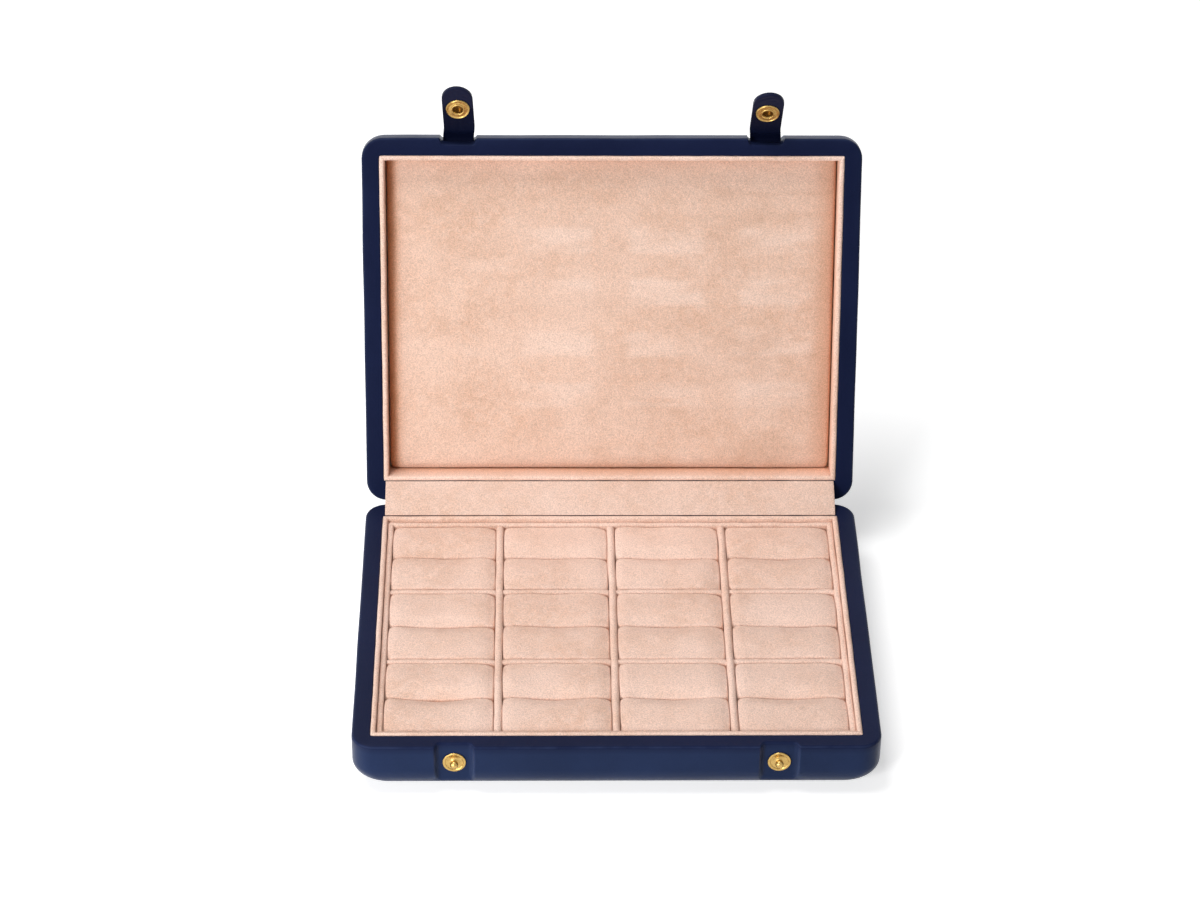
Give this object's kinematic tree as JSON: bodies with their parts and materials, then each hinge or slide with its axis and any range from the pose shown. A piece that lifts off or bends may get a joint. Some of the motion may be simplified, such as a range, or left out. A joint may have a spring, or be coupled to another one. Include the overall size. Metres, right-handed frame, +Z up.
{
  "type": "ring case",
  "caption": "Hinged leather-covered ring case with suede ring pads in a divided tray, a padded lid panel and leather snap tabs at the front.",
  "frame": {"origin": "centre of the underside panel's flat face, on the surface the case rests on", "axes": "+Z up, +X to the right seen from the front, -Y towards the front with the snap tabs, +Y towards the hinge"},
  "size_m": [0.24, 0.2576, 0.2301],
  "materials": {
    "navy_leather": "smooth satin",
    "blush_suede": "soft brushed nap",
    "brass": "satin",
    "wood": "unfinished",
    "card": "matt"
  },
  "bodies": {
    "base": {"base_board": "wood", "base_cover": "navy_leather", "base_liner_back": "blush_suede", "base_liner_front": "blush_suede", "base_liner_left": "blush_suede", "base_liner_right": "blush_suede", "base_underside": "navy_leather", "base_walls": "wood", "hinge_spine": "navy_leather", "hinge_strip": "blush_suede", "ring_pad_01": "blush_suede", "ring_pad_02": "blush_suede", "ring_pad_03": "blush_suede", "ring_pad_04": "blush_suede", "ring_pad_05": "blush_suede", "ring_pad_06": "blush_suede", "ring_pad_07": "blush_suede", "ring_pad_08": "blush_suede", "ring_pad_09": "blush_suede", "ring_pad_10": "blush_suede", "ring_pad_11": "blush_suede", "ring_pad_12": "blush_suede", "ring_pad_13": "blush_suede", "ring_pad_14": "blush_suede", "ring_pad_15": "blush_suede", "ring_pad_16": "blush_suede", "ring_pad_17": "blush_suede", "ring_pad_18": "blush_suede", "ring_pad_19": "blush_suede", "ring_pad_20": "blush_suede", "ring_pad_21": "blush_suede", "ring_pad_22": "blush_suede", "ring_pad_23": "blush_suede", "ring_pad_24": "blush_suede", "snap_stud_left": "brass", "snap_stud_right": "brass", "tray_board": "card", "tray_cross_back": "blush_suede", "tray_cross_front": "blush_suede", "tray_divider_left": "blush_suede", "tray_divider_middle": "blush_suede", "tray_divider_right": "blush_suede", "tray_frame": "blush_suede"},
    "lid": {"lid_board": "wood", "lid_cover": "navy_leather", "lid_liner_back": "blush_suede", "lid_liner_front": "blush_suede", "lid_liner_left": "blush_suede", "lid_liner_right": "blush_suede", "lid_pad": "blush_suede", "lid_panel_board": "card", "lid_walls": "wood", "tab_anchor_left": "navy_leather", "tab_anchor_right": "navy_leather"},
    "tab_left": {"tab_left": "navy_leather", "snap_socket_left": "brass", "snap_cap_left": "brass"},
    "tab_right": {"tab_right": "navy_leather", "snap_socket_right": "brass", "snap_cap_right": "brass"}
  },
  "joints": [
    {"name": "lid_hinge", "type": "hinge", "parent": "base", "child": "lid", "pos_m": [0, 0.0932, 0.026], "axis": [1, 0, 0], "range_deg": [0, 106.8], "deforming": ["hinge_strip", "hinge_spine"]},
    {"name": "tab_left_flex", "type": "hinge", "parent": "lid", "child": "tab_left", "pos_m": [-0.0736, 0.15664, 0.19842], "axis": [1, 0, 0], "range_deg": [-40, 56], "stiffness_Nm_per_rad": 0.03},
    {"name": "tab_right_flex", "type": "hinge", "parent": "lid", "child": "tab_right", "pos_m": [0.0736, 0.15664, 0.19842], "axis": [1, 0, 0], "range_deg": [-47, 49], "stiffness_Nm_per_rad": 0.03}
  ]
}
